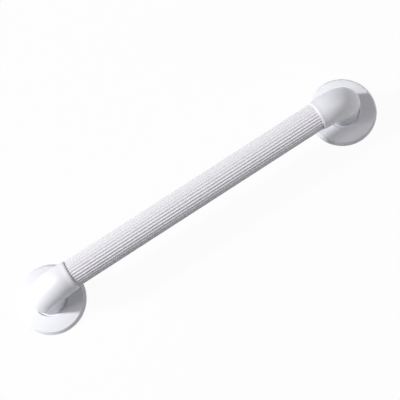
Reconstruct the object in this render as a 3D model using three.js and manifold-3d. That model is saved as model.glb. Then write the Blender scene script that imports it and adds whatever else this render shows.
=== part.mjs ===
// A straight wall grab bar with a fluted grip and hidden fixings, in millimetres.
// +Z points out of the wall, X runs along the bar and Y across it. The origin is
// on the wall's face, midway between the two wall feet.
//
// An aluminium core tube carries the load. A fluted plastic sleeve covers it, and
// its ends sit in two moulded elbows. Each elbow turns down to a round wall foot,
// which three screws hold in plugs in the wall. A low round cover, free to slide
// up the elbow's neck, hides the foot and its screws.
import * as THREE from 'three';
import { mergeVertices } from 'three/addons/utils/BufferGeometryUtils.js';
import Module from 'manifold-3d';

const wasm = await Module();
wasm.setup();

// The whole bar
const centresLength = 450; // between the centres of the two wall feet
const axisHeight = 72; // from the wall to the axis of the grip
const fitGap = 0.3; // between pieces that touch
const cutOverrun = 2; // how far a cutting solid runs past the face it cuts

// The fluted sleeve and the core tube inside it
const gripRadius = 17.5; // over the crests
const fluteCount = 30;
const fluteDepth = 0.9;
const gripWall = 2.3; // under the flutes
const coreWall = 2;
// One flute's outline: how far along its pitch, and how far down its depth
const fluteShares = [
  [0, 0],
  [0.17, 0.26],
  [0.33, 0.74],
  [0.5, 1],
  [0.67, 0.74],
  [0.83, 0.26],
];

// The elbow
const neckRadius = 19.8;
const neckWall = 3.2;
const bendRadius = 38; // of the centre line
const bendSwell = 0.6; // how far the skin swells at the middle of the bend
const collarLength = 9; // straight, from the bend to the mouth
const mouthWall = 1.6; // round the end of the sleeve
const mouthRounding = 1.2; // radial
const mouthTaper = 2.4; // length of the rounding
const sleeveInsert = 7; // length of sleeve inside the mouth
const coreInsert = 22; // length of bare core beyond the sleeve
const webThickness = 9; // between the core's socket and the hollow of the neck
const hollowChamfer = 6;

// The wall foot, one piece with the elbow
const footRadius = 42.6;
const footThickness = 5;
const footEdge = 1.8; // height of its upright edge
const footBevel = 3; // radial width of its bevel
const bossRadius = 24; // of the round boss under the cover's inner edge
const bossTop = 7.3; // above the wall
const rootFillet = 1; // between the boss and the neck

// The cover
const coverWall = 1.9;
const coverClearance = 0.8; // to the foot
const coverHoleClearance = 2.6; // to the neck, so that the cover passes over the elbow
const crownRise = 2; // from the edge of the top face to the hole
const crownBow = 0.3; // how far the top face bows above a straight cone
const holeRounding = 0.4; // of the hole's upper edge
const gripRibCount = 6;
const gripRibWidth = 3;

// The wall screws and their plugs
const screwCount = 3;
const screwRim = 3.5; // flat, between a screw's recess and the bevel of the foot
const screwRadius = 2.4;
const screwClearance = 0.4;
const screwHeadRadius = 4.7;
const screwHeadHeight = 2.6;
const screwHeadRounding = 1.2;
const screwLength = 42; // under the head
const screwTip = 5;
const headRecess = 2.2; // depth of the recess that the head sits in
const headClearance = 0.4;
const driveLength = 4.6; // of the cross slot, tip to tip
const driveWidth = 0.9;
const driveDepth = 1.4;
const plugRadius = 4;
const plugLength = 45;
const plugFloor = 2;
const plugCollarRadius = 4.7;
const plugCollarHeight = 1;
const plugBarb = 0.5;
const plugBarbCount = 3;

// The grub screw that locks the core in the elbow
const grubRadius = 2.3;
const grubInset = 6; // from the sleeve's end, along the core
const grubSetback = 0.8; // below the elbow's skin
const grubReach = 0.6; // past the inner wall of the core
const grubSocketWidth = 2.5; // across flats
const grubSocketDepth = 2.4;
const hexSides = 6;

// How finely round shapes are divided
const tubeSides = 36;
const coverSides = 48;
const bendSteps = 9;
const roundingSteps = 2;
const crownSteps = 3;
const smallSides = 12;
const plugSides = 10;

// Sizes that follow from these
const coreRadius = gripRadius - fluteDepth - gripWall - fitGap;
const coreBore = coreRadius - coreWall;
const mouthBore = gripRadius + fitGap;
const mouthRadius = mouthBore + mouthWall;
const mouthReach = bendRadius + collarLength; // from the foot's centre
const bendStart = axisHeight - bendRadius; // height at which the bend starts
const sleeveEnd = mouthReach - sleeveInsert;
const coreEnd = sleeveEnd - coreInsert;
const grubPlace = sleeveEnd - grubInset;
const socketRadius = coreRadius + fitGap;
const hollowTop = axisHeight - socketRadius - webThickness;
const holeRadius = neckRadius + coverHoleClearance;
const halfCentres = centresLength / 2;
const screwSeat = footThickness - headRecess;
const recessRadius = screwHeadRadius + headClearance;
const screwCircleRadius = footRadius - footBevel - screwRim - recessRadius;

const colours = {
  sleeve: { color: 0xf1f1f2, roughness: 0.5, metalness: 0 },
  moulding: { color: 0xf3f3f5, roughness: 0.38, metalness: 0 },
  core: { color: 0xb9bcc0, roughness: 0.4, metalness: 1 },
  screw: { color: 0xc9cacc, roughness: 0.3, metalness: 1 },
  plug: { color: 0xa9adb2, roughness: 0.6, metalness: 0 },
};

// A closed geometry as a solid that can be cut and joined
function solidOf(geometry) {
  const bare = geometry.clone();
  bare.deleteAttribute('normal');
  bare.deleteAttribute('uv');
  const merged = mergeVertices(bare);
  const vertProperties = new Float32Array(merged.attributes.position.array);
  const triVerts = new Uint32Array(merged.index.array);
  return new wasm.Manifold(new wasm.Mesh({ numProp: 3, vertProperties, triVerts }));
}

function geometryOf(solid) {
  const cut = solid.getMesh();
  const geometry = new THREE.BufferGeometry();
  geometry.setAttribute('position', new THREE.BufferAttribute(cut.vertProperties, 3));
  geometry.setIndex(new THREE.BufferAttribute(cut.triVerts, 1));
  geometry.computeVertexNormals();
  return geometry;
}

function named(name, geometry, look) {
  const mesh = new THREE.Mesh(geometry, new THREE.MeshStandardMaterial(look));
  mesh.name = name;
  return mesh;
}

// A solid turned about Z from a list of [radius, height] points
function turned(outline, sides) {
  const points = outline.map(([radius, height]) => new THREE.Vector2(radius, height));
  const geometry = new THREE.LatheGeometry(points, sides);
  geometry.rotateX(Math.PI / 2);
  return geometry;
}

// A round bar about Z from one height to another
function roundBar(radius, low, high, sides) {
  return turned([[0, low], [radius, low], [radius, high], [0, high]], sides);
}

// The same, laid along X
function roundBarAlongX(radius, near, far, sides) {
  return roundBar(radius, near, far, sides).rotateY(Math.PI / 2);
}

// Points of a quarter of a circle, from the direction of one axis to the other
function quarter(centre, radius, fromAngle, steps) {
  const points = [];
  for (let step = 0; step <= steps; step += 1) {
    const angle = fromAngle + (step / steps) * (Math.PI / 2);
    points.push([centre[0] + radius * Math.cos(angle), centre[1] + radius * Math.sin(angle)]);
  }
  return points;
}

// A solid through a row of circles, each with its centre, direction and radius,
// where every direction lies in the plane of the bend
function throughCircles(circles, sides) {
  const across = new THREE.Vector3(0, 1, 0);
  const positions = [];
  const faces = [];
  for (const { centre, direction, radius } of circles) {
    const outward = new THREE.Vector3().crossVectors(across, direction);
    for (let side = 0; side < sides; side += 1) {
      const angle = (side / sides) * 2 * Math.PI;
      const point = centre.clone();
      point.addScaledVector(outward, radius * Math.cos(angle));
      point.addScaledVector(across, radius * Math.sin(angle));
      positions.push(point.x, point.y, point.z);
    }
  }
  for (let row = 0; row + 1 < circles.length; row += 1) {
    for (let side = 0; side < sides; side += 1) {
      const here = row * sides + side;
      const next = row * sides + ((side + 1) % sides);
      faces.push(here, next, next + sides, here, next + sides, here + sides);
    }
  }
  const last = circles.length - 1;
  for (const [row, flip] of [[0, true], [last, false]]) {
    const { centre } = circles[row];
    const hub = positions.length / 3;
    positions.push(centre.x, centre.y, centre.z);
    for (let side = 0; side < sides; side += 1) {
      const here = row * sides + side;
      const next = row * sides + ((side + 1) % sides);
      faces.push(...(flip ? [hub, next, here] : [hub, here, next]));
    }
  }
  const geometry = new THREE.BufferGeometry();
  geometry.setAttribute('position', new THREE.Float32BufferAttribute(positions, 3));
  geometry.setIndex(faces);
  geometry.computeVertexNormals();
  return geometry;
}

// The fluted outline of the sleeve, as an extrusion along X
function gripSleeve() {
  const outline = [];
  for (let flute = 0; flute < fluteCount; flute += 1) {
    for (const [pitchShare, depthShare] of fluteShares) {
      const angle = ((flute + pitchShare) / fluteCount) * 2 * Math.PI;
      const radius = gripRadius - fluteDepth * depthShare;
      outline.push(new THREE.Vector2(radius * Math.cos(angle), radius * Math.sin(angle)));
    }
  }
  const shape = new THREE.Shape(outline);
  const bore = new THREE.Path();
  bore.absarc(0, 0, coreRadius + fitGap, 0, 2 * Math.PI, true);
  shape.holes.push(bore);
  const length = centresLength - 2 * sleeveEnd;
  const options = { depth: length, bevelEnabled: false, steps: 1, curveSegments: tubeSides };
  const geometry = new THREE.ExtrudeGeometry(shape, options);
  geometry.translate(0, 0, -length / 2);
  geometry.rotateY(Math.PI / 2);
  geometry.translate(0, 0, axisHeight);
  return geometry;
}

// The core tube, with a cross hole at each end for the grub screw
function coreTube() {
  const half = halfCentres - coreEnd;
  const outer = solidOf(roundBarAlongX(coreRadius, -half, half, tubeSides));
  const bore = solidOf(roundBarAlongX(coreBore, -half - cutOverrun, half + cutOverrun, tubeSides));
  let tube = outer.subtract(bore);
  for (const end of [-1, 1]) {
    const hole = roundBar(grubRadius + fitGap, -coreRadius - cutOverrun, 0, smallSides);
    hole.translate(end * (halfCentres - grubPlace), 0, 0);
    tube = tube.subtract(solidOf(hole));
  }
  return geometryOf(tube).translate(0, 0, axisHeight);
}

// The circles that the elbow's skin runs through, from the wall to the mouth
function elbowCircles() {
  const up = new THREE.Vector3(0, 0, 1);
  const along = new THREE.Vector3(1, 0, 0);
  const circles = [{ centre: new THREE.Vector3(), direction: up, radius: neckRadius }];
  for (let step = 0; step <= bendSteps; step += 1) {
    const share = step / bendSteps;
    const angle = (share * Math.PI) / 2;
    const easeShare = share * share * (3 - 2 * share);
    circles.push({
      centre: new THREE.Vector3(
        bendRadius - bendRadius * Math.cos(angle),
        0,
        bendStart + bendRadius * Math.sin(angle),
      ),
      direction: new THREE.Vector3(Math.sin(angle), 0, Math.cos(angle)),
      radius:
        neckRadius
        + (mouthRadius - neckRadius) * easeShare
        + bendSwell * Math.sin(share * Math.PI),
    });
  }
  for (let step = 0; step <= roundingSteps; step += 1) {
    const angle = (step / roundingSteps) * (Math.PI / 2);
    const reach = mouthReach - mouthTaper + mouthTaper * Math.sin(angle);
    circles.push({
      centre: new THREE.Vector3(reach, 0, axisHeight),
      direction: along,
      radius: mouthRadius - mouthRounding + mouthRounding * Math.cos(angle),
    });
  }
  return circles;
}

// The wall foot: a bevelled disc with a round boss, and a fillet up to the neck
function footDisc() {
  const fillet = quarter(
    [neckRadius + rootFillet, bossTop + rootFillet],
    rootFillet,
    Math.PI,
    roundingSteps,
  ).reverse();
  return turned(
    [
      [0, 0],
      [footRadius, 0],
      [footRadius, footEdge],
      [footRadius - footBevel, footThickness],
      [bossRadius, footThickness],
      [bossRadius, bossTop],
      ...fillet,
      [0, bossTop + rootFillet],
    ],
    coverSides,
  );
}

// The hollow of the neck, a round well open to the wall
function neckHollow() {
  const radius = neckRadius - neckWall;
  return turned(
    [
      [0, -cutOverrun],
      [radius, -cutOverrun],
      [radius, hollowTop - hollowChamfer],
      [radius - hollowChamfer, hollowTop],
      [0, hollowTop],
    ],
    tubeSides,
  );
}

// Where the wall screws stand round the foot: none of them under the grip
function screwPlaces() {
  const places = [];
  for (let index = 0; index < screwCount; index += 1) {
    const angle = ((index + 0.5) / screwCount) * 2 * Math.PI;
    places.push([screwCircleRadius * Math.cos(angle), screwCircleRadius * Math.sin(angle)]);
  }
  return places;
}

// The elbow with its wall foot, the foot's centre at the origin and its mouth
// facing +X
function elbow() {
  let body = solidOf(throughCircles(elbowCircles(), tubeSides)).add(solidOf(footDisc()));
  body = body.subtract(solidOf(neckHollow()));
  const mouth = roundBarAlongX(mouthBore, sleeveEnd - fitGap, mouthReach + cutOverrun, tubeSides);
  const socket = roundBarAlongX(socketRadius, coreEnd - fitGap, mouthReach, tubeSides);
  for (const cut of [mouth, socket]) {
    body = body.subtract(solidOf(cut.translate(0, 0, axisHeight)));
  }
  for (const [x, y] of screwPlaces()) {
    const hole = roundBar(
      screwRadius + screwClearance,
      -cutOverrun,
      footThickness + cutOverrun,
      smallSides,
    );
    const recess = roundBar(
      recessRadius,
      screwSeat,
      footThickness + cutOverrun,
      smallSides,
    );
    body = body.subtract(solidOf(hole.translate(x, y, 0)));
    body = body.subtract(solidOf(recess.translate(x, y, 0)));
  }
  const grubHole = roundBar(
    grubRadius + fitGap,
    axisHeight - mouthRadius - cutOverrun,
    axisHeight - coreBore,
    smallSides,
  );
  body = body.subtract(solidOf(grubHole.translate(grubPlace, 0, 0)));
  return geometryOf(body);
}

// The cover: a bevelled rim and a nearly flat top face, with a hole wider than the
// neck, and plain ribs inside the rim that grip the edge of the foot
function cover() {
  const innerRim = footRadius + coverClearance;
  const outerRim = innerRim + coverWall;
  const innerEdge = footThickness + coverClearance;
  const outerEdge = innerEdge + coverWall;
  const crownTop = outerEdge + crownRise;
  const crown = (startRadius, startHeight, endRadius) => {
    const points = [];
    for (let step = 0; step <= crownSteps; step += 1) {
      const share = step / crownSteps;
      const radius = startRadius + (endRadius - startRadius) * share;
      const bow = crownBow * Math.sin(share * Math.PI);
      points.push([radius, startHeight + crownRise * share + bow]);
    }
    return points;
  };
  const outer = [
    [outerRim, fitGap],
    [outerRim, footEdge + coverClearance],
    ...crown(outerRim - footBevel, outerEdge, holeRadius + holeRounding),
    [holeRadius, crownTop - holeRounding],
  ];
  const inner = [
    [innerRim, fitGap],
    [innerRim, footEdge],
    ...crown(innerRim - footBevel, innerEdge, holeRadius),
  ];
  const outline = [...outer, ...inner.reverse(), outer[0]];
  let shell = solidOf(turned(outline, coverSides));
  const ribDepth = coverClearance - fitGap;
  const ribHeight = footEdge - fitGap;
  for (let index = 0; index < gripRibCount; index += 1) {
    const rib = new THREE.BoxGeometry(ribDepth + coverWall / 2, gripRibWidth, ribHeight);
    rib.translate(footRadius + fitGap + (ribDepth + coverWall / 2) / 2, 0, fitGap + ribHeight / 2);
    rib.rotateZ((index / gripRibCount) * 2 * Math.PI);
    shell = shell.add(solidOf(rib));
  }
  return geometryOf(shell);
}

// A pan head wall screw with a cross slot and a plain shank
function wallScrew() {
  const seat = screwSeat + fitGap;
  const top = seat + screwHeadHeight;
  const tip = seat - screwLength;
  const body = turned(
    [
      [0, tip],
      [screwRadius, tip + screwTip],
      [screwRadius, seat],
      [screwHeadRadius, seat],
      ...quarter(
        [screwHeadRadius - screwHeadRounding, top - screwHeadRounding],
        screwHeadRounding,
        0,
        roundingSteps,
      ),
      [0, top],
    ],
    smallSides,
  );
  const slotHeight = driveDepth + cutOverrun;
  const slot = new THREE.BoxGeometry(driveLength, driveWidth, slotHeight);
  slot.translate(0, 0, top - driveDepth + slotHeight / 2);
  const crossSlot = slot.clone().rotateZ(Math.PI / 2);
  return geometryOf(solidOf(body).subtract(solidOf(slot)).subtract(solidOf(crossSlot)));
}

// A wall plug: a blind tube with a collar and a row of barbs
function wallPlug() {
  const bore = screwRadius + fitGap;
  const top = -fitGap;
  const low = top - plugLength;
  const barbPitch = (plugLength - plugCollarHeight) / (plugBarbCount + 1);
  const outline = [
    [0, low],
    [plugRadius - plugBarb, low],
  ];
  for (let index = 1; index <= plugBarbCount; index += 1) {
    const height = low + index * barbPitch;
    outline.push([plugRadius, height]);
    outline.push([plugRadius - plugBarb, height + plugBarb]);
  }
  outline.push(
    [plugRadius - plugBarb, top - plugCollarHeight],
    [plugCollarRadius, top - plugCollarHeight],
    [plugCollarRadius, top],
    [bore, top],
    [bore, low + plugFloor],
    [0, low + plugFloor],
  );
  return turned(outline, plugSides);
}

// The grub screw, its hexagon socket facing the wall
function grubScrew() {
  const low = axisHeight - mouthRadius + grubSetback;
  const high = axisHeight - coreBore + grubReach;
  const flatRadius = grubSocketWidth / 2 / Math.cos(Math.PI / hexSides);
  const body = solidOf(roundBar(grubRadius, low, high, smallSides));
  const socket = roundBar(flatRadius, low - cutOverrun, low + grubSocketDepth, hexSides);
  return geometryOf(body.subtract(solidOf(socket))).translate(grubPlace, 0, 0);
}

// One end of the bar, its elbow facing +X, turned round for the right hand end
function barEnd(side, turn, place) {
  const end = new THREE.Group();
  end.rotation.z = turn;
  end.position.x = place;
  end.add(named(`${side}_elbow`, elbow(), colours.moulding));
  end.add(named(`${side}_cover`, cover(), colours.moulding));
  end.add(named(`${side}_grub_screw`, grubScrew(), colours.screw));
  screwPlaces().forEach(([x, y], index) => {
    const screw = named(`${side}_wall_screw_${index + 1}`, wallScrew(), colours.screw);
    const plug = named(`${side}_wall_plug_${index + 1}`, wallPlug(), colours.plug);
    screw.position.set(x, y, 0);
    plug.position.set(x, y, 0);
    end.add(screw, plug);
  });
  return end;
}

const group = new THREE.Group();
group.add(named('grip_sleeve', gripSleeve(), colours.sleeve));
group.add(named('core_tube', coreTube(), colours.core));
group.add(barEnd('left', 0, -halfCentres));
group.add(barEnd('right', Math.PI, halfCentres));

export default group;
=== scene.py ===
# %% [markdown]
# # A fluted grab bar
# A bar like this is bought in a bag and screwed to a bathroom wall. The working solids are ready
# made here: they have the true sizes but plain, faceted skins. Each step below makes one real
# piece again as a fine mesh, gives it the finish that its maker gives it, and lets it ride on
# the body that it moves with. The wall's face is the plane z = 0, and X runs along the bar.

import math

import bmesh
import bpy
from mathutils import Matrix, Vector


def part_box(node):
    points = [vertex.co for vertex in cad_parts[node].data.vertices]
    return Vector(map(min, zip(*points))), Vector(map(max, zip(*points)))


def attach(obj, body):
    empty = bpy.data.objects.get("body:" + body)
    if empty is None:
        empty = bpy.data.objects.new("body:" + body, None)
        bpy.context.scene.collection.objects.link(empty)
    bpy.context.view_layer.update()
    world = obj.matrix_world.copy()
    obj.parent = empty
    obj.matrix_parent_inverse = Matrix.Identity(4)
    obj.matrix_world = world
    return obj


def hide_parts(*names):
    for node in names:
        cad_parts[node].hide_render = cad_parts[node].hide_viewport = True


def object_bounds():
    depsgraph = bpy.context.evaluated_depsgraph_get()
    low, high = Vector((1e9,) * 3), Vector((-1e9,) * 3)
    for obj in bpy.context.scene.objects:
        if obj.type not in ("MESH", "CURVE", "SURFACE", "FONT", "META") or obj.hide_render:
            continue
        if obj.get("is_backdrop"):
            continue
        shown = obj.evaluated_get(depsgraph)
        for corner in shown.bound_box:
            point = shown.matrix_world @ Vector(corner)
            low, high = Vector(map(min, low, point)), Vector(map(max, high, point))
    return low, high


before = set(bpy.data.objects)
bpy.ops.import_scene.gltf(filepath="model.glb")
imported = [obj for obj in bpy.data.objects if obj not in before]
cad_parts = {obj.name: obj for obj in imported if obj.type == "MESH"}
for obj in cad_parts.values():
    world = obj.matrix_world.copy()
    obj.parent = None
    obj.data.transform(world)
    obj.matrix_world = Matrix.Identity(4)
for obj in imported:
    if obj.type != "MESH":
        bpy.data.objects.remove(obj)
solid_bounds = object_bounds()

# %% [markdown]
# Blender works in metres and a workshop drawing in millimetres. Every size here is in
# millimetres, and one constant turns it into metres where a mesh is made. The main places are
# read from the solids' own boxes, so no piece has to be fitted by eye. The two ends of the bar
# are alike, so each is described once: its foot's centre at the origin, its mouth facing +X.

# %% Read the main places from the solids
MM = 0.001
UP = Vector((0, 0, 1))
ALONG = Vector((1, 0, 0))
ACROSS = Vector((0, 1, 0))


def box_of(node):
    """The lowest and highest corner of a solid, in millimetres."""
    low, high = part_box(node)
    return low / MM, high / MM


_, sleeve_high = box_of("grip_sleeve")
core_low, core_high = box_of("core_tube")
cover_low, cover_high = box_of("left_cover")
elbow_low, elbow_high = box_of("left_elbow")
axis_height = (core_low.z + core_high.z) / 2
half_centres = -(cover_low.x + cover_high.x) / 2
foot_radius = -half_centres - elbow_low.x
mouth_reach = elbow_high.x + half_centres
sleeve_end = half_centres - sleeve_high.x
core_end = half_centres - core_high.x
print("axis height", round(axis_height, 2), "half of the centres", round(half_centres, 2))
print("from a foot's centre to the mouth", round(mouth_reach, 2), "sleeve", round(sleeve_end, 2))

# %% [markdown]
# Nearly everything on the bar is round, so nearly everything can be a skin pulled through a row
# of rings: a turned cover, a bent elbow, a threaded screw. Blender's Spin and Screw tools do part
# of this, but rings of points that a formula places can also follow the bend, carry a parting
# line and fade out a thread. One function joins any such row into a closed mesh.

# %% Rings, and a skin through them
CREASE = math.radians(32)  # an edge that turns more than this is drawn sharp


def ring(centre, direction, radius, angles):
    """Points round a centre. Angle 0 is +X on an upright ring, and a quarter turn is +Y.
    The radius is a number, or a function of the angle."""
    outward = ACROSS.cross(direction)
    points = []
    for angle in angles:
        reach = radius(angle) if callable(radius) else radius
        points.append(centre + reach * (math.cos(angle) * outward + math.sin(angle) * ACROSS))
    return points


def even_angles(sides):
    return [2 * math.pi * side / sides for side in range(sides)]


def show(name, mesh):
    """Puts a mesh into the scene, smooth but for its creases."""
    mesh.shade_smooth()
    mesh.set_sharp_from_angle(angle=CREASE)
    piece = bpy.data.objects.new(name, mesh)
    bpy.context.scene.collection.objects.link(piece)
    return piece


def skin(name, rings, closed=False):
    """One mesh through rings of points. A ring of one point is a pole."""
    shape = bmesh.new()
    rows = [[shape.verts.new(point * MM) for point in points] for points in rings]
    following = rows[1:] + rows[:1] if closed else rows[1:]
    for near, far in zip(rows, following):
        for side in range(max(len(near), len(far))):
            corners = (
                near[side % len(near)],
                near[(side + 1) % len(near)],
                far[(side + 1) % len(far)],
                far[side % len(far)],
            )
            shape.faces.new(dict.fromkeys(corners))
    bmesh.ops.recalc_face_normals(shape, faces=shape.faces)
    mesh = bpy.data.meshes.new(name)
    shape.to_mesh(mesh)
    shape.free()
    return show(name, mesh)


# %% [markdown]
# A moulding has no knife edges: the steel mould is rounded in its corners, and the plastic
# shrinks a little as it cools. An outline is therefore written as corners, each with its own
# rounding, and this helper turns every rounding into a short arc. A Bevel modifier could round
# the mesh afterwards, but then the radius of each edge could not be chosen by itself.

# %% Outlines with rounded corners
ARC_STEP = math.radians(15)


def rounded(corners):
    """(radius, height) points of an outline whose corners are (radius, height, rounding)."""
    points = []
    for index, (radius, height, rounding) in enumerate(corners):
        here = Vector((radius, height))
        if rounding == 0:
            points.append(here)
            continue
        before = (Vector(corners[index - 1][:2]) - here).normalized()
        after = (Vector(corners[(index + 1) % len(corners)][:2]) - here).normalized()
        half = before.angle(after) / 2
        middle = here + (before + after).normalized() * (rounding / math.sin(half))
        start = here + before * (rounding / math.tan(half)) - middle
        end = here + after * (rounding / math.tan(half)) - middle
        sweep = math.atan2(start.cross(end), start.dot(end))
        steps = max(2, round(abs(sweep) / ARC_STEP))
        for step in range(steps + 1):
            points.append(middle + Matrix.Rotation(sweep * step / steps, 2) @ start)
    return points


def rings_along(outline, origin, direction, angles):
    """A ring for each (radius, reach) point of an outline, or a pole where the radius is 0."""
    rings = []
    for radius, reach in outline:
        centre = origin + reach * direction
        rings.append(ring(centre, direction, radius, angles) if radius else [centre])
    return rings


def turned(name, outline, sides, closed=False):
    """A piece turned about Z from (radius, height) points."""
    return skin(name, rings_along(outline, Vector(), UP, even_angles(sides)), closed)


# %% [markdown]
# Holes, slots and sockets are cut with the exact Boolean modifier, which leaves a clean closed
# mesh. The result is taken as a plain mesh at once and the cutting shapes are thrown away, so
# nothing is left to be worked out later.

# %% Cutting and joining
OVERRUN = 1.5  # how far a cutting shape runs past the face that it cuts


def combine(piece, others, operation):
    """Cuts the other shapes out of the piece, or joins them to it."""
    for other in others:
        step = piece.modifiers.new("combine", "BOOLEAN")
        step.operation = operation
        step.solver = "EXACT"
        step.object = other
    bpy.context.view_layer.update()
    graph = bpy.context.evaluated_depsgraph_get()
    mesh = bpy.data.meshes.new_from_object(piece.evaluated_get(graph))
    piece.modifiers.clear()
    piece.data = mesh
    mesh.shade_smooth()
    mesh.set_sharp_from_angle(angle=CREASE)
    for other in others:
        bpy.data.objects.remove(other)
    return piece


def placed(piece, place, turn=0):
    """The piece with its mesh turned about Z and moved."""
    piece.data.transform(Matrix.Translation(place * MM) @ Matrix.Rotation(turn, 4, "Z"))
    return piece


# %% [markdown]
# Materials come before the pieces. A colour is written as the sRGB hex value that a paint
# program shows, and one function turns it into the linear values that Blender's sockets take.
# One more function adds any node with its settings and its links, which keeps each material
# short enough to read as a recipe.

# %% Colours and nodes
SRGB_KNEE = 0.04045
SRGB_SLOPE = 12.92
SRGB_OFFSET = 0.055
SRGB_POWER = 2.4


def linear(hex_colour):
    """An sRGB hex colour as linear red, green, blue and alpha."""
    values = []
    for start in (1, 3, 5):
        share = int(hex_colour[start : start + 2], 16) / 255
        if share <= SRGB_KNEE:
            values.append(share / SRGB_SLOPE)
        else:
            values.append(((share + SRGB_OFFSET) / (1 + SRGB_OFFSET)) ** SRGB_POWER)
    return (*values, 1)


def add_node(tree, kind, sockets=None, **settings):
    """Adds a node. A socket takes a value, a node's first output, or a given output."""
    node = tree.nodes.new(kind)
    for name, value in settings.items():
        setattr(node, name, value)
    for name, value in (sockets or {}).items():
        socket = next(found for found in node.inputs if found.name == name and found.enabled)
        if isinstance(value, bpy.types.Node):
            value = next(found for found in value.outputs if found.enabled)
        if isinstance(value, bpy.types.NodeSocket):
            tree.links.new(value, socket)
        else:
            socket.default_value = value
    return node


def empty_tree(name):
    """A new material and its node tree, with nothing in it."""
    material = bpy.data.materials.new(name)
    material.use_nodes = True
    material.node_tree.nodes.clear()
    return material, material.node_tree


def per(size):
    """The texture scale that repeats a pattern about once in this many millimetres."""
    return 1 / (size * MM)


# %% [markdown]
# The elbows and covers are ABS, injection moulded in a finely blasted steel mould. The blasting
# leaves an even satin skin, so a highlight is broad and soft. Where the melt flowed and cooled at
# different speeds, the white and the gloss drift by a hair over a few centimetres. The blasted
# grain is really about 0.05 mm across and is drawn ten times as coarse, so that it shows at all.

# %% Moulded ABS
ABS_WHITE = "#F0F1F7"
ABS_FLOW_WHITE = "#ECECF1"
ABS_IOR = 1.54
ABS_ROUGHNESS = {"To Min": 0.34, "To Max": 0.44}
ABS_FLOW_SIZE = 35
ABS_SHEEN_SIZE = 9
ABS_GRAIN_SIZE = 0.5
ABS_GRAIN_HEIGHT = 0.004

moulded_abs, tree = empty_tree("moulded_abs_satin")
place = add_node(tree, "ShaderNodeTexCoord").outputs["Object"]
flow = add_node(tree, "ShaderNodeTexNoise", {"Vector": place, "Scale": per(ABS_FLOW_SIZE)})
colour = add_node(
    tree,
    "ShaderNodeMix",
    {"Factor": flow, "A": linear(ABS_WHITE), "B": linear(ABS_FLOW_WHITE)},
    data_type="RGBA",
)
sheen = add_node(tree, "ShaderNodeTexNoise", {"Vector": place, "Scale": per(ABS_SHEEN_SIZE)})
roughness = add_node(tree, "ShaderNodeMapRange", {"Value": sheen, **ABS_ROUGHNESS})
grain = add_node(tree, "ShaderNodeTexNoise", {"Vector": place, "Scale": per(ABS_GRAIN_SIZE)})
bump = add_node(tree, "ShaderNodeBump", {"Height": grain, "Distance": ABS_GRAIN_HEIGHT * MM})
shader = add_node(
    tree,
    "ShaderNodeBsdfPrincipled",
    {"Base Color": colour, "Roughness": roughness, "Normal": bump, "IOR": ABS_IOR},
)
add_node(tree, "ShaderNodeOutputMaterial", {"Surface": shader})
print("material:", moulded_abs.name)

# %% [markdown]
# The grip is PVC, pressed hot through a fluted die and sawn to length. The die's lips leave faint
# straight lines all along it, and a sawn length has no lines round it. The same noise as before
# gives them when the place is squeezed along X first: the pattern then changes in less than a
# millimetre across the grip, but hardly at all along it. PVC is a touch rougher and less clean a
# white than the mouldings. Real die lines are finer still. These are as fine as can show, and
# they have almost no height, so it is mostly the gloss that changes from line to line.

# %% Extruded PVC
PVC_WHITE = "#E9E8EC"
PVC_LINE_WHITE = "#E4E2E8"
PVC_IOR = 1.53
PVC_ROUGHNESS = {"To Min": 0.42, "To Max": 0.54}
PVC_LINE_SIZE = 0.8
PVC_LINE_HEIGHT = 0.0001
PVC_SQUEEZE = 0.004
PVC_CLOUD_SIZE = 40

extruded_pvc, tree = empty_tree("extruded_pvc_fluted")
place = add_node(tree, "ShaderNodeTexCoord").outputs["Object"]
squeezed = add_node(tree, "ShaderNodeMapping", {"Vector": place, "Scale": (PVC_SQUEEZE, 1, 1)})
lines = add_node(tree, "ShaderNodeTexNoise", {"Vector": squeezed, "Scale": per(PVC_LINE_SIZE)})
cloud = add_node(tree, "ShaderNodeTexNoise", {"Vector": place, "Scale": per(PVC_CLOUD_SIZE)})
colour = add_node(
    tree,
    "ShaderNodeMix",
    {"Factor": cloud, "A": linear(PVC_WHITE), "B": linear(PVC_LINE_WHITE)},
    data_type="RGBA",
)
roughness = add_node(tree, "ShaderNodeMapRange", {"Value": lines, **PVC_ROUGHNESS})
bump = add_node(tree, "ShaderNodeBump", {"Height": lines, "Distance": PVC_LINE_HEIGHT * MM})
shader = add_node(
    tree,
    "ShaderNodeBsdfPrincipled",
    {"Base Color": colour, "Roughness": roughness, "Normal": bump, "IOR": PVC_IOR},
)
add_node(tree, "ShaderNodeOutputMaterial", {"Surface": shader})
print("material:", extruded_pvc.name)

# %% [markdown]
# The core tube is left as the mill drew it. Drawing scores the metal along its length, so it
# reflects in long soft streaks, and handling leaves duller clouds between them. A metal's colour
# is the colour of its reflection, so Metallic is 1 and the IOR stays at its default.

# %% Mill finish aluminium
ALUMINIUM = "#DADCDD"
ALUMINIUM_DULL = "#C6C9CC"
ALUMINIUM_ROUGHNESS = {"To Min": 0.28, "To Max": 0.46}
SCORE_SIZE = 0.6
SCORE_HEIGHT = 0.01
SCORE_SQUEEZE = 0.01
HANDLING_SIZE = 14

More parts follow.
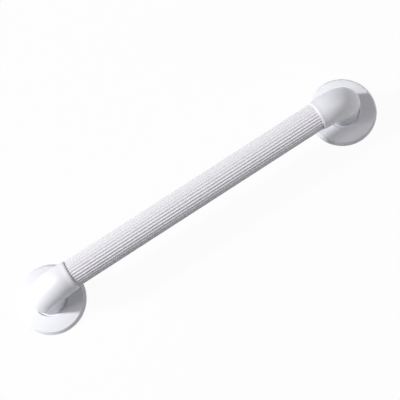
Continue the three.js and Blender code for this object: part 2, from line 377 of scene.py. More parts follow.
mill_aluminium, tree = empty_tree("aluminium_mill_finish")
place = add_node(tree, "ShaderNodeTexCoord").outputs["Object"]
squeezed = add_node(tree, "ShaderNodeMapping", {"Vector": place, "Scale": (SCORE_SQUEEZE, 1, 1)})
scores = add_node(tree, "ShaderNodeTexNoise", {"Vector": squeezed, "Scale": per(SCORE_SIZE)})
cloud = add_node(tree, "ShaderNodeTexNoise", {"Vector": place, "Scale": per(HANDLING_SIZE)})
colour = add_node(
    tree,
    "ShaderNodeMix",
    {"Factor": cloud, "A": linear(ALUMINIUM), "B": linear(ALUMINIUM_DULL)},
    data_type="RGBA",
)
roughness = add_node(tree, "ShaderNodeMapRange", {"Value": scores, **ALUMINIUM_ROUGHNESS})
bump = add_node(tree, "ShaderNodeBump", {"Height": scores, "Distance": SCORE_HEIGHT * MM})
shader = add_node(
    tree,
    "ShaderNodeBsdfPrincipled",
    {"Base Color": colour, "Roughness": roughness, "Normal": bump, "Metallic": 1},
)
add_node(tree, "ShaderNodeOutputMaterial", {"Surface": shader})
print("material:", mill_aluminium.name)

# %% [markdown]
# The screws are steel with a bright zinc plating, a few thousandths of a millimetre thick. It
# reflects clearly but a little bluish, and it has fine spangles where the plating bath grew its
# crystals. Voronoi cells give such spangles: each cell gets its own roughness.

# %% Bright zinc plated steel
ZINC = "#D3D7DC"
ZINC_DULL = "#BFC4CB"
ZINC_ROUGHNESS = {"To Min": 0.22, "To Max": 0.36}
SPANGLE_SIZE = 0.8
TARNISH_SIZE = 5

zinc_steel, tree = empty_tree("zinc_plated_steel_bright")
place = add_node(tree, "ShaderNodeTexCoord").outputs["Object"]
spangles = add_node(tree, "ShaderNodeTexVoronoi", {"Vector": place, "Scale": per(SPANGLE_SIZE)})
tarnish = add_node(tree, "ShaderNodeTexNoise", {"Vector": place, "Scale": per(TARNISH_SIZE)})
colour = add_node(
    tree,
    "ShaderNodeMix",
    {"Factor": tarnish, "A": linear(ZINC), "B": linear(ZINC_DULL)},
    data_type="RGBA",
)
cell = spangles.outputs["Color"]
roughness = add_node(tree, "ShaderNodeMapRange", {"Value": cell, **ZINC_ROUGHNESS})
shader = add_node(
    tree,
    "ShaderNodeBsdfPrincipled",
    {"Base Color": colour, "Roughness": roughness, "Metallic": 1},
)
add_node(tree, "ShaderNodeOutputMaterial", {"Surface": shader})
print("material:", zinc_steel.name)

# %% [markdown]
# The wall plugs are grey nylon, moulded by the thousand in a mould that nobody polishes. The skin
# is dull and a little waxy, with a coarse uneven texture.

# %% Moulded nylon
NYLON_GREY = "#A9ADB2"
NYLON_PALE = "#B5B9BD"
NYLON_IOR = 1.53
NYLON_ROUGHNESS = {"To Min": 0.5, "To Max": 0.64}
NYLON_CLOUD_SIZE = 8
NYLON_GRAIN_SIZE = 0.7
NYLON_GRAIN_HEIGHT = 0.02

moulded_nylon, tree = empty_tree("moulded_nylon_grey")
place = add_node(tree, "ShaderNodeTexCoord").outputs["Object"]
cloud = add_node(tree, "ShaderNodeTexNoise", {"Vector": place, "Scale": per(NYLON_CLOUD_SIZE)})
colour = add_node(
    tree,
    "ShaderNodeMix",
    {"Factor": cloud, "A": linear(NYLON_GREY), "B": linear(NYLON_PALE)},
    data_type="RGBA",
)
grain = add_node(tree, "ShaderNodeTexNoise", {"Vector": place, "Scale": per(NYLON_GRAIN_SIZE)})
roughness = add_node(tree, "ShaderNodeMapRange", {"Value": grain, **NYLON_ROUGHNESS})
bump = add_node(tree, "ShaderNodeBump", {"Height": grain, "Distance": NYLON_GRAIN_HEIGHT * MM})
shader = add_node(
    tree,
    "ShaderNodeBsdfPrincipled",
    {"Base Color": colour, "Roughness": roughness, "Normal": bump, "IOR": NYLON_IOR},
)
add_node(tree, "ShaderNodeOutputMaterial", {"Surface": shader})
print("material:", moulded_nylon.name)

# %% [markdown]
# The grip sleeve is one extrusion with thirty flutes. Its section is the same all along, so it
# needs rings of points only at its two ends. Round the section, crests and hollows follow each
# other as smoothly as a wave, because PVC tears at sharp corners in the die, so a cosine draws
# them.

# %% The flutes of the grip
FLUTES = 30
FLUTE_DEPTH = 0.9
FLUTE_STEPS = 18  # points in one flute
crest_radius = sleeve_high.z - axis_height
flute_depths = {
    angle: FLUTE_DEPTH * (1 - math.cos(FLUTES * angle)) / 2
    for angle in even_angles(FLUTES * FLUTE_STEPS)
}
print("grip diameter", round(2 * crest_radius, 2), "points round it", len(flute_depths))

# %% [markdown]
# The saw leaves a slight burr that is brushed off, which breaks the edges at both ends. The bore
# is plain and holds the core tube with a little play.

# %% The fluted grip
FIT_GAP = 0.3
BROKEN_EDGE = 0.25
core_radius = core_high.z - axis_height
axis_middle = Vector((0, 0, axis_height))
bore_radius = core_radius + FIT_GAP
sleeve_half = sleeve_high.x
grip_rings = []
for reach, drop in (
    (-sleeve_half, BROKEN_EDGE),
    (-sleeve_half + BROKEN_EDGE, 0),
    (sleeve_half - BROKEN_EDGE, 0),
    (sleeve_half, BROKEN_EDGE),
):
    grip_rings.append(
        ring(
            axis_middle + reach * ALONG,
            ALONG,
            lambda angle: crest_radius - flute_depths[angle] - drop,
            flute_depths,
        )
    )
for reach, rise in (
    (sleeve_half, BROKEN_EDGE),
    (sleeve_half - BROKEN_EDGE, 0),
    (-sleeve_half + BROKEN_EDGE, 0),
    (-sleeve_half, BROKEN_EDGE),
):
    grip_rings.append(ring(axis_middle + reach * ALONG, ALONG, bore_radius + rise, flute_depths))
fluted_grip = skin("fluted_grip", grip_rings, closed=True)
fluted_grip.data.materials.append(extruded_pvc)
print("fluted grip:", len(fluted_grip.data.polygons), "faces")

# %% [markdown]
# The core tube carries the load. It reaches further into the elbows than the sleeve does, and a
# cross hole near each end takes the point of a grub screw, so that it can neither turn nor slip.

# %% The core tube
CORE_WALL = 2
CORE_SIDES = 96
HOLE_SIDES = 32
DEBURR = 0.3
grub_low, grub_high = box_of("left_grub_screw")
grub_place = (grub_low.x + grub_high.x) / 2 + half_centres
grub_radius = (grub_high.x - grub_low.x) / 2
core_half = core_high.x
core_bore = core_radius - CORE_WALL
core_outline = [
    (core_radius - DEBURR, -core_half),
    (core_radius, -core_half + DEBURR),
    (core_radius, core_half - DEBURR),
    (core_radius - DEBURR, core_half),
    (core_bore + DEBURR, core_half),
    (core_bore, core_half - DEBURR),
    (core_bore, -core_half + DEBURR),
    (core_bore + DEBURR, -core_half),
]
core_rings = rings_along(core_outline, axis_middle, ALONG, even_angles(CORE_SIDES))
core_pipe = skin("core_pipe", core_rings, closed=True)
grub_hole_radius = grub_radius + FIT_GAP
cross_hole_low = axis_height - core_radius - OVERRUN
cross_hole_outline = (
    (0, cross_hole_low),
    (grub_hole_radius, cross_hole_low),
    (grub_hole_radius, axis_height),
    (0, axis_height),
)
cross_holes = []
for end in (-1, 1):
    hole = turned("cross_hole", cross_hole_outline, HOLE_SIDES)
    cross_holes.append(placed(hole, end * (half_centres - grub_place) * ALONG))
combine(core_pipe, cross_holes, "DIFFERENCE")
core_pipe.data.materials.append(mill_aluminium)
print("core pipe:", len(core_pipe.data.polygons), "faces")

# %% [markdown]
# The elbow and its wall foot are one moulding. Its outline at the wall, turned about Z, runs from
# the ceiling of the hollow in its neck, out over the back of the foot, round the bevelled edge,
# up a low round boss that carries the cover's inner edge, and in to the slimmer neck. The bend
# follows, and then the collar and the mouth, turned about X. All of it is one row of rings, so
# the skin flows from the foot to the mouth without a joint, as it does on the real piece. The
# collar narrows by half a millimetre, the draft that lets a moulding leave its mould, and the
# mouth tapers to a thin edge, so that a hand meets no step where the sleeve goes in.

# %% The outlines at the wall and at the mouth
NECK_RADIUS = 19.8
NECK_WALL = 3.2
BEND_RADIUS = 38
FOOT_THICKNESS = 5
FOOT_EDGE = 1.8
FOOT_BEVEL = 3
BOSS_RADIUS = 24
BOSS_TOP = 7.3
ROOT_FILLET = 1
WEB = 9  # solid plastic between the hollow's ceiling and the core's socket
HOLLOW_CHAMFER = 6
CEILING_ROUNDING = 1.5
CHAMFER_ROUNDING = 2.5
HOLLOW_EDGE_ROUNDING = 0.5
FOOT_BACK_ROUNDING = 0.3
FOOT_EDGE_ROUNDING = 0.5
FOOT_FACE_ROUNDING = 0.8
BOSS_ROOT_ROUNDING = 0.3
BOSS_EDGE_ROUNDING = 0.4
MOUTH_WALL = 1.6
MOUTH_DRAFT = 0.5  # by which the collar narrows
MOUTH_TAPER = 1.6
MOUTH_EDGE = 0.65  # from the sleeve's crests to the end of the taper
MOUTH_GRIP = 1.5  # length of the mouth that hugs the sleeve's crests
MOUTH_PLAY = 0.1
TAPER_ROUNDING = 2
MOUTH_OUTER_ROUNDING = 0.25
MOUTH_INNER_ROUNDING = 0.15
SLEEVE_SEAT_ROUNDING = 0.3
CORE_MOUTH_ROUNDING = 0.4
CORE_SEAT_ROUNDING = 0.3
bend_start = axis_height - BEND_RADIUS
hollow_top = axis_height - bore_radius - WEB
hollow_radius = NECK_RADIUS - NECK_WALL
mouth_bore = crest_radius + FIT_GAP
mouth_radius = mouth_bore + MOUTH_WALL
socket_start = sleeve_end - FIT_GAP
foot_outline = rounded(
    [
        (0, hollow_top, 0),
        (hollow_radius - HOLLOW_CHAMFER, hollow_top, CEILING_ROUNDING),
        (hollow_radius, hollow_top - HOLLOW_CHAMFER, CHAMFER_ROUNDING),
        (hollow_radius, 0, HOLLOW_EDGE_ROUNDING),
        (foot_radius, 0, FOOT_BACK_ROUNDING),
        (foot_radius, FOOT_EDGE, FOOT_EDGE_ROUNDING),
        (foot_radius - FOOT_BEVEL, FOOT_THICKNESS, FOOT_FACE_ROUNDING),
        (BOSS_RADIUS, FOOT_THICKNESS, BOSS_ROOT_ROUNDING),
        (BOSS_RADIUS, BOSS_TOP, BOSS_EDGE_ROUNDING),
        (NECK_RADIUS, BOSS_TOP, ROOT_FILLET),
        (NECK_RADIUS, bend_start, 0),
    ]
)
mouth_outline = rounded(
    [
        (mouth_radius, BEND_RADIUS, 0),
        (mouth_radius - MOUTH_DRAFT, mouth_reach - MOUTH_TAPER, TAPER_ROUNDING),
        (crest_radius + MOUTH_EDGE, mouth_reach, MOUTH_OUTER_ROUNDING),
        (crest_radius + MOUTH_PLAY, mouth_reach, MOUTH_INNER_ROUNDING),
        (crest_radius + MOUTH_PLAY, mouth_reach - MOUTH_GRIP, 0),
        (mouth_bore, mouth_reach - MOUTH_GRIP, 0),
        (mouth_bore, socket_start, SLEEVE_SEAT_ROUNDING),
        (bore_radius, socket_start, CORE_MOUTH_ROUNDING),
        (bore_radius, core_end - FIT_GAP, CORE_SEAT_ROUNDING),
        (0, core_end - FIT_GAP, 0),
    ]
)
print("outline points:", len(foot_outline), "at the wall,", len(mouth_outline), "at the mouth")

# %% [markdown]
# The steel mould opens in two halves, which never meet quite flush. The half round the inside of
# the bend came out half a millimetre bigger, so a fine ledge runs along both flanks of the
# elbow. It starts a little behind the middle of the neck and comes nearer to the middle at the
# mouth. Each ring takes its points from one list of angles, which is close together at the two
# ledges, so that even such a small one keeps its edge.

# %% The parting line
SEAM_LEDGE = 0.5
SEAM_WIDTH = 0.5  # along the skin, at the neck
SEAM_AT_NECK = math.radians(108)
SEAM_AT_MOUTH = math.radians(94)
SEAM_OFFSETS = (-4, -1, 0, 0.5, 1, 2, 5)  # in widths
BACK_COLUMNS = 44
THROAT_COLUMNS = 60
ledge_angle = SEAM_WIDTH / NECK_RADIUS


def eased(share):
    """0 to 1 with a soft start and a soft end."""
    return share * share * (3 - 2 * share)


def between(start, end, count):
    return [start + (end - start) * step / count for step in range(1, count)]


def seam_place(share):
    """The angle of the ledge, from 0 at the neck to 1 at the mouth."""
    return SEAM_AT_NECK + (SEAM_AT_MOUTH - SEAM_AT_NECK) * share


def elbow_angles(share):
    seam = seam_place(share)
    near = [seam + offset * ledge_angle for offset in SEAM_OFFSETS]
    far = [2 * math.pi - angle for angle in reversed(near)]
    back = between(near[-1], far[0], BACK_COLUMNS)
    throat = between(far[-1], 2 * math.pi + near[0], THROAT_COLUMNS)
    return near + back + far + throat


def seamed(radius, share, strength):
    """The radius of the elbow's skin as a function of the angle."""
    seam = seam_place(share)

    def reach(angle):
        from_throat = math.acos(math.cos(angle))
        drop = min(max((from_throat - seam) / ledge_angle, 0), 1)
        return radius - SEAM_LEDGE * strength * drop

    return reach


print("points round a ring of the elbow:", len(elbow_angles(0)))

# %% [markdown]
# Now the rings, in the order in which the skin runs. The ledge fades in above the foot's fillet
# and fades out before the taper of the mouth. The bend eases from the neck's radius to the
# collar's and swells a little between them, which gives the elbow its soft back.

# %% The rings of the elbow
BEND_STEPS = 30
BEND_SWELL = 0.6
SEAM_FADE = 3  # length over which the ledge fades
COLLAR_END = 6  # from the end of the bend to where the ledge has gone
foot_rings = rings_along(foot_outline[:-1], Vector(), UP, elbow_angles(0))
neck_foot = BOSS_TOP + ROOT_FILLET
for height, strength in ((neck_foot + SEAM_FADE / 2, 0.5), (neck_foot + SEAM_FADE, 1)):
    foot_rings.append(ring(height * UP, UP, seamed(NECK_RADIUS, 0, strength), elbow_angles(0)))
bend_rings = []
for step in range(BEND_STEPS + 1):
    share = step / BEND_STEPS
    angle = share * math.pi / 2
    lean = Vector((math.sin(angle), 0, math.cos(angle)))
    out = BEND_RADIUS * (1 - math.cos(angle))
    centre = Vector((out, 0, bend_start + BEND_RADIUS * math.sin(angle)))
    radius = NECK_RADIUS + (mouth_radius - NECK_RADIUS) * eased(share)
    radius += BEND_SWELL * math.sin(math.pi * share)
    bend_rings.append(ring(centre, lean, seamed(radius, share, 1), elbow_angles(share)))
for reach, strength in (
    (BEND_RADIUS + COLLAR_END - SEAM_FADE, 1),
    (BEND_RADIUS + COLLAR_END - SEAM_FADE / 2, 0.5),
):
    draft = MOUTH_DRAFT * (reach - BEND_RADIUS) / (mouth_reach - MOUTH_TAPER - BEND_RADIUS)
    skin_radius = seamed(mouth_radius - draft, 1, strength)
    bend_rings.append(ring(axis_middle + reach * ALONG, ALONG, skin_radius, elbow_angles(1)))
mouth_rings = rings_along(mouth_outline[1:], axis_middle, ALONG, elbow_angles(1))
elbow_rings = foot_rings + bend_rings + mouth_rings
print("rings of the elbow:", len(elbow_rings))

# %% [markdown]
# The foot has three holes for the wall screws, each with a shallow recess that takes the head, so
# that the cover can close over it. They are spaced so that none stands under the grip, where a
# screwdriver could not reach. The bottom of the collar has a hole for the grub screw.

# %% The elbow moulding
SCREW_NUMBERS = (1, 2, 3)
SHANK_RADIUS = 2.4
SCREW_CLEARANCE = 0.4
HEAD_RECESS = 2.2
HEAD_CLEARANCE = 0.4
RECESS_CHAMFER = 0.3
RECESS_SIDES = 48
screw_low, screw_high = box_of("left_wall_screw_1")
head_radius = (screw_high.y - screw_low.y) / 2
screw_places = []
for number in SCREW_NUMBERS:
    low, high = box_of(f"left_wall_screw_{number}")
    middle = (low + high) / 2
    screw_places.append(Vector((middle.x + half_centres, middle.y, 0)))

elbow_moulding = skin("elbow_moulding", elbow_rings)
seat_height = FOOT_THICKNESS - HEAD_RECESS
hole_radius = SHANK_RADIUS + SCREW_CLEARANCE
recess_radius = head_radius + HEAD_CLEARANCE
screw_hole_outline = (
    (0, -OVERRUN),
    (hole_radius, -OVERRUN),
    (hole_radius, seat_height),
    (recess_radius, seat_height),
    (recess_radius, FOOT_THICKNESS - RECESS_CHAMFER),
    (recess_radius + RECESS_CHAMFER + OVERRUN, FOOT_THICKNESS + OVERRUN),
    (0, FOOT_THICKNESS + OVERRUN),
)
elbow_cutters = [
    placed(turned("screw_hole", screw_hole_outline, RECESS_SIDES), middle)
    for middle in screw_places
]
grub_hole_low = axis_height - mouth_radius - OVERRUN
grub_hole_outline = (
    (0, grub_hole_low),
    (grub_hole_radius, grub_hole_low),
    (grub_hole_radius, axis_height - core_bore),
    (0, axis_height - core_bore),
)
grub_hole = turned("grub_hole", grub_hole_outline, HOLE_SIDES)
elbow_cutters.append(placed(grub_hole, grub_place * ALONG))
combine(elbow_moulding, elbow_cutters, "DIFFERENCE")
elbow_moulding.data.materials.append(moulded_abs)
print("elbow moulding:", len(elbow_moulding.data.polygons), "faces")

# %% [markdown]
# The cover is a thin turned shell: an upright rim, a narrow bevel, a top face that rises by only
# two millimetres, and a hole whose edge stands over the foot's boss. The face is bowed by a hair
# above a straight cone, because a flat top would look sunken after the plastic has shrunk. The
# hole is wider than the neck, so that the cover can pass over the elbow when the bar is put
# together. Inside the rim are six low bumps that snap it over the foot's edge.

# %% The cover's outline
COVER_WALL = 1.9
COVER_CLEARANCE = 0.8
COVER_BEVEL = 3
CROWN_RISE = 2
CROWN_BOW = 0.3
CROWN_STEPS = 14
HOLE_CLEARANCE = 2.6
HOLE_ROUNDING = 0.4
RIM_ROUNDING = 0.3
SHOULDER_ROUNDING = 0.4
CROWN_EDGE_ROUNDING = 0.35
INSIDE_ROUNDING = 0.3
rim_inside = foot_radius + COVER_CLEARANCE
rim_outside = rim_inside + COVER_WALL
edge_inside = FOOT_THICKNESS + COVER_CLEARANCE
edge_outside = edge_inside + COVER_WALL
cover_hole = NECK_RADIUS + HOLE_CLEARANCE
crown_top = edge_outside + CROWN_RISE


def crown(start_radius, start_height, edge_rounding):
    """The top face, from its outer edge towards the hole, as rounded corners."""
    corners = [(start_radius, start_height, edge_rounding)]
    for step in range(1, CROWN_STEPS):
        share = step / CROWN_STEPS
        radius = start_radius + (cover_hole - start_radius) * share
        bow = CROWN_BOW * math.sin(share * math.pi)
        corners.append((radius, start_height + CROWN_RISE * share + bow, 0))
    return corners


outside = [
    (rim_outside, FIT_GAP, RIM_ROUNDING),
    (rim_outside, FOOT_EDGE + COVER_CLEARANCE, SHOULDER_ROUNDING),
    *crown(rim_outside - COVER_BEVEL, edge_outside, CROWN_EDGE_ROUNDING),
    (cover_hole, crown_top, HOLE_ROUNDING),
]
inside = [
    (cover_hole, crown_top - COVER_WALL, INSIDE_ROUNDING),
    *reversed(crown(rim_inside - COVER_BEVEL, edge_inside, INSIDE_ROUNDING)),
    (rim_inside, FOOT_EDGE, 0),
    (rim_inside, FIT_GAP, 0),
]
cover_outline = rounded(outside + inside)
print("cover diameter", round(2 * rim_outside, 2), "outline points", len(cover_outline))

# %% [markdown]
# A snap bump is a low swelling of the rim's inner wall, so it needs no piece of its own: the two
# rings of the inner wall come inwards at six places, and the ring above them stays round.

# %% The cover moulding
COVER_SIDES = 240
BUMPS = 6
BUMP_HALF = math.radians(3)
bump_height = COVER_CLEARANCE - FIT_GAP
cover_angles = even_angles(COVER_SIDES)


def bumped(angle):
    """The radius of the rim's inner wall."""
    pitch = 2 * math.pi / BUMPS
    offset = abs((angle + pitch / 2) % pitch - pitch / 2) / BUMP_HALF
    return rim_inside - (bump_height * (1 + math.cos(math.pi * offset)) / 2 if offset < 1 else 0)


cover_rings = rings_along(cover_outline[:-2], Vector(), UP, cover_angles)
for height in (FOOT_EDGE - FIT_GAP, FIT_GAP):
    cover_rings.append(ring(height * UP, UP, bumped, cover_angles))
cover_moulding = skin("cover_moulding", cover_rings, closed=True)
cover_moulding.data.materials.append(moulded_abs)
print("cover moulding:", len(cover_moulding.data.polygons), "faces")

# %% [markdown]
# Both kinds of screw have a thread: a ridge that climbs one pitch in each turn. If every ring has
# as many points as there are rings in one pitch, the crest moves up exactly one ring from each
# point to the next and comes out clean. The driver's slots taper towards their bottom, so they
# are cut with wedges.

# %% Threads and slots
THREAD_SIDES = 20
THREAD_CREST = 0.06  # half of the crest's width, as a share of the pitch
THREAD_FLANK = 0.32  # where the flank meets the root


def threaded(crest, root, turns):
    """The radius of a thread as a function of the angle, this many turns up."""

    def reach(angle):
        turn = (turns - angle / (2 * math.pi)) % 1
        drop = (min(turn, 1 - turn) - THREAD_CREST) / (THREAD_FLANK - THREAD_CREST)
        return crest - (crest - root) * min(max(drop, 0), 1)

    return reach


def wedge(length, width, low, high, taper=0):
    """A cutting block whose bottom is smaller all round by the taper."""
    rings = [[low * UP]]
    for height, inset in ((low, taper), (high, 0)):
        x = length / 2 - inset
        y = width / 2 - inset
        corners = ((x, y), (-x, y), (-x, -y), (x, -y))
        rings.append([Vector((*corner, height)) for corner in corners])
    return skin("wedge", [*rings, [high * UP]])


print("rings in one pitch:", THREAD_SIDES)

# %% [markdown]
# A wall screw has a pan head with a cross recess. Under the head a short piece of the blank is
# left plain, then the thread runs in over one turn, and at the tip it tapers to a point. Head and
# thread are two closed skins, joined by a Boolean because their rings have different numbers of
# points.

# %% The wall screw
THREAD_PITCH = 2.4
THREAD_DEPTH = 0.7
PLAIN_SHANK = 4
HEAD_SIDES = 48
HEAD_HEIGHT = 2.6
HEAD_ROUNDING = 1.2
HEAD_EDGE_ROUNDING = 0.2
HEAD_ROOT_ROUNDING = 0.3
TIP_LENGTH = 5
TIP_RADIUS = 0.3
DRIVE_LENGTH = 4.6
DRIVE_WIDTH = 1
DRIVE_DEPTH = 1.4
DRIVE_TAPER = 0.3
blank_radius = SHANK_RADIUS - THREAD_DEPTH / 2
head_seat = seat_height + FIT_GAP
head_top = head_seat + HEAD_HEIGHT
thread_start = head_seat - PLAIN_SHANK
screw_tip = screw_low.z
head_outline = rounded(
    [
        (0, head_top, 0),
        (head_radius, head_top, HEAD_ROUNDING),
        (head_radius, head_seat, HEAD_EDGE_ROUNDING),
        (blank_radius, head_seat, HEAD_ROOT_ROUNDING),
        (blank_radius, thread_start, 0),
        (0, thread_start, 0),
    ]
)
wall_screw = turned("wall_screw", head_outline, HEAD_SIDES)
thread_rings = [[(thread_start + OVERRUN) * UP]]
for height in (thread_start + OVERRUN, thread_start):
    inner_radius = blank_radius - THREAD_DEPTH / 4
    thread_rings.append(ring(height * UP, UP, inner_radius, even_angles(THREAD_SIDES)))
ring_step = THREAD_PITCH / THREAD_SIDES
for index in range(1, round((thread_start - screw_tip) / ring_step)):
    height = thread_start - index * ring_step
    run_in = min(index / THREAD_SIDES, 1)
    taper = min((height - screw_tip) / TIP_LENGTH, 1)
    crest = (blank_radius + THREAD_DEPTH / 2 * run_in - TIP_RADIUS) * taper + TIP_RADIUS
    root = (blank_radius - THREAD_DEPTH / 2 * run_in - TIP_RADIUS) * taper + TIP_RADIUS
    radius = threaded(crest, root, height / THREAD_PITCH)
    thread_rings.append(ring(height * UP, UP, radius, even_angles(THREAD_SIDES)))
thread_rings.append([screw_tip * UP])
combine(wall_screw, [skin("thread", thread_rings)], "UNION")
slots = []
for turn in (0, math.pi / 2):
    slot = wedge(DRIVE_LENGTH, DRIVE_WIDTH, head_top - DRIVE_DEPTH, head_top + OVERRUN, DRIVE_TAPER)
    slots.append(placed(slot, Vector(), turn))
combine(wall_screw, slots, "DIFFERENCE")
wall_screw.data.materials.append(zinc_steel)
print("wall screw:", len(wall_screw.data.polygons), "faces")

# %% [markdown]
# A wall plug is a nylon tube with a collar that stops it at the wall's face. Rings of barbs bite
# into the hole, and a cross slit lets its lower part spread when the screw goes in.

# %% The wall plug
PLUG_RADIUS = 4
PLUG_COLLAR_RADIUS = 4.7
PLUG_COLLAR_HEIGHT = 1
PLUG_BARB = 0.5
PLUG_BARBS = 3
PLUG_FLOOR = 2
PLUG_SIDES = 40
PLUG_TIP_ROUNDING = 0.4
BARB_EDGE_ROUNDING = 0.1
BARB_ROOT_ROUNDING = 0.15
COLLAR_ROOT_ROUNDING = 0.2
COLLAR_BACK_ROUNDING = 0.15
COLLAR_FACE_ROUNDING = 0.25
BORE_EDGE_ROUNDING = 0.2
BORE_FLOOR_ROUNDING = 0.3
SLIT_LENGTH = 3 * PLUG_RADIUS  # enough to run out on both sides
SLIT_WIDTH = 0.8
SLIT_SHARE = 0.7  # of the plug's length, from its tip
plug_low, plug_high = box_of("left_wall_plug_1")
plug_body = PLUG_RADIUS - PLUG_BARB
plug_collar_low = plug_high.z - PLUG_COLLAR_HEIGHT
plug_bore = SHANK_RADIUS + FIT_GAP
plug_corners = [(0, plug_low.z, 0), (plug_body, plug_low.z, PLUG_TIP_ROUNDING)]
for index in range(1, PLUG_BARBS + 1):
    height = plug_low.z + index * (plug_collar_low - plug_low.z) / (PLUG_BARBS + 1)
    plug_corners.append((PLUG_RADIUS, height, BARB_EDGE_ROUNDING))
    plug_corners.append((plug_body, height + PLUG_BARB, BARB_ROOT_ROUNDING))
plug_corners += [
    (plug_body, plug_collar_low, COLLAR_ROOT_ROUNDING),
    (PLUG_COLLAR_RADIUS, plug_collar_low, COLLAR_BACK_ROUNDING),
    (PLUG_COLLAR_RADIUS, plug_high.z, COLLAR_FACE_ROUNDING),
    (plug_bore, plug_high.z, BORE_EDGE_ROUNDING),
    (plug_bore, plug_low.z + PLUG_FLOOR, BORE_FLOOR_ROUNDING),
    (0, plug_low.z + PLUG_FLOOR, 0),
]
wall_plug = turned("wall_plug", rounded(plug_corners), PLUG_SIDES)
slit_top = plug_low.z + SLIT_SHARE * (plug_high.z - plug_low.z)
slits = []
for turn in (math.pi / 4, -math.pi / 4):
    slit = wedge(SLIT_LENGTH, SLIT_WIDTH, plug_low.z - OVERRUN, slit_top)
    slits.append(placed(slit, Vector(), turn))
combine(wall_plug, slits, "DIFFERENCE")
wall_plug.data.materials.append(moulded_nylon)
print("wall plug:", len(wall_plug.data.polygons), "faces")

# %% [markdown]
# A grub screw is all thread. Its hexagon socket faces the wall, where nobody sees it, and its
# other end goes through the wall of the core tube.

# %% The grub screw
GRUB_PITCH = 0.8
GRUB_THREAD_DEPTH = 0.35
GRUB_CHAMFER = 0.4
SOCKET_FLATS = 2.5
SOCKET_DEPTH = 2.4
HEX_SIDES = 6
grub_rings = []
grub_step = GRUB_PITCH / THREAD_SIDES
for index in range(round((grub_high.z - grub_low.z) / grub_step) + 1):
    height = min(grub_low.z + index * grub_step, grub_high.z)
    to_end = min(height - grub_low.z, grub_high.z - height)
    crest = grub_radius - max(GRUB_CHAMFER - to_end, 0)
    root = min(grub_radius - GRUB_THREAD_DEPTH, crest)
    radius = threaded(crest, root, height / GRUB_PITCH)
    grub_rings.append(ring(height * UP, UP, radius, even_angles(THREAD_SIDES)))
grub_rings = [[grub_low.z * UP], *grub_rings, [grub_high.z * UP]]
grub_screw = skin("grub_screw", grub_rings)
socket_radius = SOCKET_FLATS / 2 / math.cos(math.pi / HEX_SIDES)
socket_outline = (
    (0, grub_low.z - OVERRUN),
    (socket_radius, grub_low.z - OVERRUN),
    (socket_radius, grub_low.z + SOCKET_DEPTH),
    (0, grub_low.z + SOCKET_DEPTH),
)
combine(grub_screw, [turned("socket", socket_outline, HEX_SIDES)], "DIFFERENCE")
grub_screw.data.materials.append(zinc_steel)
print("grub screw:", len(grub_screw.data.polygons), "faces")

# %% [markdown]
# Each piece now takes the place of its solid, which stays in the model unseen, and rides on the
# body that the solid belongs to. The right end is the left end turned half round. Pieces of one
# kind share one mesh, as they come from one mould, and only their objects differ. The screws are
# each turned a little differently, as a hand leaves them.

# %% Put the pieces in place
SCREW_TURNS = {"left": (17, 64, 38), "right": (52, 8, 71)}  # degrees


def put(template, name, node, body, place):
    """A copy of a finished piece that stands for one solid."""
    piece = template.copy()
    piece.name = name
    bpy.context.scene.collection.objects.link(piece)
    piece.matrix_world = place
    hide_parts(node)
    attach(piece, body)
    return piece


at_rest = Matrix.Identity(4)
put(fluted_grip, "grip_fluted", "grip_sleeve", "bar", at_rest)
put(core_pipe, "core_pipe_drawn", "core_tube", "bar", at_rest)
for side, turn, middle in (("left", 0, -half_centres), ("right", math.pi, half_centres)):
    end = Matrix.Translation(middle * MM * ALONG) @ Matrix.Rotation(turn, 4, "Z")
    put(elbow_moulding, f"{side}_elbow_moulding", f"{side}_elbow", "bar", end)
    cover_body = f"cover_{side}"
    put(cover_moulding, f"{side}_cover_moulding", f"{side}_cover", cover_body, end)
    grub_spot = end @ Matrix.Translation(grub_place * MM * ALONG)
    put(grub_screw, f"{side}_grub_threaded", f"{side}_grub_screw", "bar", grub_spot)
    for number, spot, degrees in zip(SCREW_NUMBERS, screw_places, SCREW_TURNS[side]):
        there = end @ Matrix.Translation(spot * MM)
        turned_there = there @ Matrix.Rotation(math.radians(degrees), 4, "Z")
        screw_node = f"{side}_wall_screw_{number}"
        plug_node = f"{side}_wall_plug_{number}"
        put(wall_screw, f"{side}_screw_{number}", screw_node, "bar", turned_there)
        put(wall_plug, f"{side}_plug_{number}", plug_node, "bar", there)
mouldings = (elbow_moulding, cover_moulding, wall_plug)
for template in (fluted_grip, core_pipe, grub_screw, wall_screw, *mouldings):
    bpy.data.objects.remove(template)

# %% [markdown]
# The bar is shown on a plain white floor, which stands for the wall that it is screwed to. The
# floor has to be nearly white in the picture without throwing more light on the bar. So the
# camera, and whatever mirrors the floor, sees mostly a plain white glow, mixed with a little of
# the lit surface, which keeps the bar's shadow. All other rays meet a plain pale surface.

# %% The floor
FLOOR_PALE = "#E6E6E9"
FLOOR_MOTTLE = "#E9E9EB"
MOTTLE_SIZE = 120
FLOOR_GLOW = 0.95
FLOOR_HALF = 4000
WHITE = "#FFFFFF"
WHITE_STRENGTH = 1  # at which a glow shows as plain white

pale_floor, tree = empty_tree("painted_wall_pale")
place = add_node(tree, "ShaderNodeTexCoord").outputs["Object"]
mottle = add_node(tree, "ShaderNodeTexNoise", {"Vector": place, "Scale": per(MOTTLE_SIZE)})
colour = add_node(
    tree,
    "ShaderNodeMix",
    {"Factor": mottle, "A": linear(FLOOR_PALE), "B": linear(FLOOR_MOTTLE)},
    data_type="RGBA",
)
lit = add_node(tree, "ShaderNodeBsdfDiffuse", {"Color": colour})
white = {"Color": linear(WHITE), "Strength": WHITE_STRENGTH}
glow = add_node(tree, "ShaderNodeEmission", white)
seen_floor = add_node(tree, "ShaderNodeMixShader", {"Fac": FLOOR_GLOW})
tree.links.new(lit.outputs[0], seen_floor.inputs[1])
tree.links.new(glow.outputs[0], seen_floor.inputs[2])


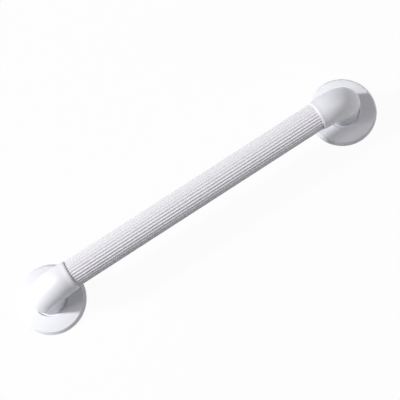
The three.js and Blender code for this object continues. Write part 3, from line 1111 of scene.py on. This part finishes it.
def seen_rays(tree):
    """1 for the rays that show a background: to the camera, mirrored, or through glass."""
    path = add_node(tree, "ShaderNodeLightPath")
    seen = path.outputs["Is Camera Ray"]
    for name in ("Is Glossy Ray", "Is Transmission Ray"):
        total = add_node(tree, "ShaderNodeMath", operation="MAXIMUM")
        tree.links.new(seen, total.inputs[0])
        tree.links.new(path.outputs[name], total.inputs[1])
        seen = total.outputs[0]
    return seen


either = add_node(tree, "ShaderNodeMixShader", {"Fac": seen_rays(tree)})
tree.links.new(lit.outputs[0], either.inputs[1])
tree.links.new(seen_floor.outputs[0], either.inputs[2])
add_node(tree, "ShaderNodeOutputMaterial", {"Surface": either})

floor_corners = [
    Vector((x * FLOOR_HALF, y * FLOOR_HALF, 0)) for x, y in ((1, 1), (-1, 1), (-1, -1), (1, -1))
]
floor_shape = bmesh.new()
floor_shape.faces.new([floor_shape.verts.new(corner * MM) for corner in floor_corners])
floor_mesh = bpy.data.meshes.new("floor")
floor_shape.to_mesh(floor_mesh)
floor_shape.free()
floor = show("floor", floor_mesh)
floor.data.materials.append(pale_floor)
floor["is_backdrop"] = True
print("floor:", 2 * FLOOR_HALF * MM, "m across")

# %% [markdown]
# The light is that of a small studio. A soft box stands behind the left end, high up and far
# away, and gives the covers their crisp shadows. Three weaker ones on the same side, at other
# heights, give each shadow a second, paler step. A wide, dim one near the right end keeps its
# shades open. The floor throws some of the light back up, which lightens the undersides of the
# elbows, and the room adds a last faint violet light.

# %% The light
ROOM_FILL = "#F4F2FC"
ROOM_STRENGTH = 0.02
FAR = 5000
NEAR = 2000
SOFT_BOXES = {
    # name: direction, distance, size, watts
    "key_soft_box": (Vector((-1.12, 0.56, 1)), FAR, 580, 200),
    "side_soft_box": (Vector((-1.1, 0.14, 1)), FAR, 500, 28),
    "high_soft_box": (Vector((-0.55, 0.2, 1)), FAR, 500, 20),
    "low_soft_box": (Vector((-2, 1.05, 1)), FAR, 700, 40),
    "fill_soft_box": (Vector((1, -0.2, 0.9)), NEAR, 1400, 10),
}

world = bpy.data.worlds.new("studio")
world.use_nodes = True
bpy.context.scene.world = world
tree = world.node_tree
tree.nodes.clear()
fill = {"Color": linear(ROOM_FILL), "Strength": ROOM_STRENGTH}
room = add_node(tree, "ShaderNodeBackground", fill)
backdrop = add_node(tree, "ShaderNodeBackground", white)
either = add_node(tree, "ShaderNodeMixShader", {"Fac": seen_rays(tree)})
tree.links.new(room.outputs[0], either.inputs[1])
tree.links.new(backdrop.outputs[0], either.inputs[2])
add_node(tree, "ShaderNodeOutputWorld", {"Surface": either})

for name, (direction, distance, size, watts) in SOFT_BOXES.items():
    lamp = bpy.data.lights.new(name, "AREA")
    lamp.shape = "DISK"
    lamp.size = size * MM
    lamp.energy = watts
    stand = bpy.data.objects.new(name, lamp)
    bpy.context.scene.collection.objects.link(stand)
    stand.location = direction.normalized() * distance * MM
    stand.rotation_euler = (-direction).to_track_quat("-Z", "Y").to_euler()
print("lamps:", {name: watts for name, (*_, watts) in SOFT_BOXES.items()}, "room", ROOM_STRENGTH)

# %% [markdown]
# The camera looks down on the bar from a little over a metre, rolled so that the bar crosses the
# picture from the lower left to the upper right. Its place, the point that it aims at and its
# focal length were found together, by fitting the outlines of the covers and the grip. Standard
# is the plain view transform, in which a colour shows as it is written.

# %% The camera
CAMERA_PLACE = Vector((-54.291, -202.65, 1105.055))
CAMERA_AIM = Vector((1.609, -8.928, 72))
CAMERA_ROLL = math.radians(-16.989)
FOCAL_LENGTH = 77.63
SENSOR_WIDTH = 36

lens = bpy.data.cameras.new("camera")
lens.lens = FOCAL_LENGTH
lens.sensor_width = SENSOR_WIDTH
camera = bpy.data.objects.new("camera", lens)
bpy.context.scene.collection.objects.link(camera)
looking = (CAMERA_AIM - CAMERA_PLACE).to_track_quat("-Z", "Y").to_matrix().to_4x4()
roll = Matrix.Rotation(CAMERA_ROLL, 4, "Z")
camera.matrix_world = Matrix.Translation(CAMERA_PLACE * MM) @ looking @ roll
bpy.context.scene.camera = camera
bpy.context.scene.view_settings.view_transform = "Standard"
print("camera:", round((CAMERA_AIM - CAMERA_PLACE).length), "mm from the bar")

# %% [markdown]
# The fine meshes must fill the same room as the solids that they stand for. Both boxes are
# printed for comparison.

# %% Compare the boxes and finish
shown_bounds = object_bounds()
boxes = {
    "solids": [list(corner) for corner in solid_bounds],
    "shown": [list(corner) for corner in shown_bounds],
}
for label, corners in boxes.items():
    print(label, [[round(value / MM, 2) for value in corner] for corner in corners])
